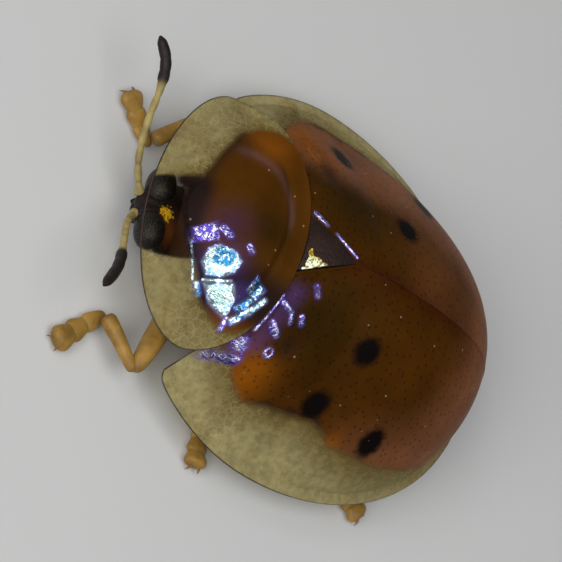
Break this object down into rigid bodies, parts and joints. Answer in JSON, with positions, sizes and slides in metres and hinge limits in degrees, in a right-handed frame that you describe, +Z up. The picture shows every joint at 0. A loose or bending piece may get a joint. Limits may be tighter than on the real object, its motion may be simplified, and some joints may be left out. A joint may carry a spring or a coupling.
{
  "type": "golden tortoise beetle",
  "caption": "Domed tortoise beetle walking on a flat surface, with clear-edged wing cases, a shield over the head, slim feelers and jointed legs, a still life-size animal model.",
  "frame": {"origin": "on the floor, below the middle of the whole model's box", "axes": "+Z up from the floor, head towards -Y, the beetle's left side towards +X"},
  "size_m": [0.0057, 0.0072, 0.0024],
  "materials": {
    "wing_case": "clear-coated amber shell",
    "shield": "iridescent bronze shell",
    "scutellum": "dark polished shell",
    "trunk": "satin dark cuticle",
    "head": "polished dark cuticle",
    "eye": "fine-faceted gloss",
    "feeler": "satin with dark tip",
    "leg": "satin amber cuticle"
  },
  "bodies": {
    "root": {"elytron_left": "wing_case", "elytron_right": "wing_case", "pronotum": "shield", "scutellum": "scutellum", "thorax": "trunk", "abdomen": "trunk", "head": "head", "eye_left": "eye", "eye_right": "eye", "antenna_left": "feeler", "antenna_right": "feeler", "leg_front_left": "leg", "leg_front_right": "leg", "leg_middle_left": "leg", "leg_middle_right": "leg", "leg_hind_left": "leg", "leg_hind_right": "leg"}
  },
  "joints": []
}
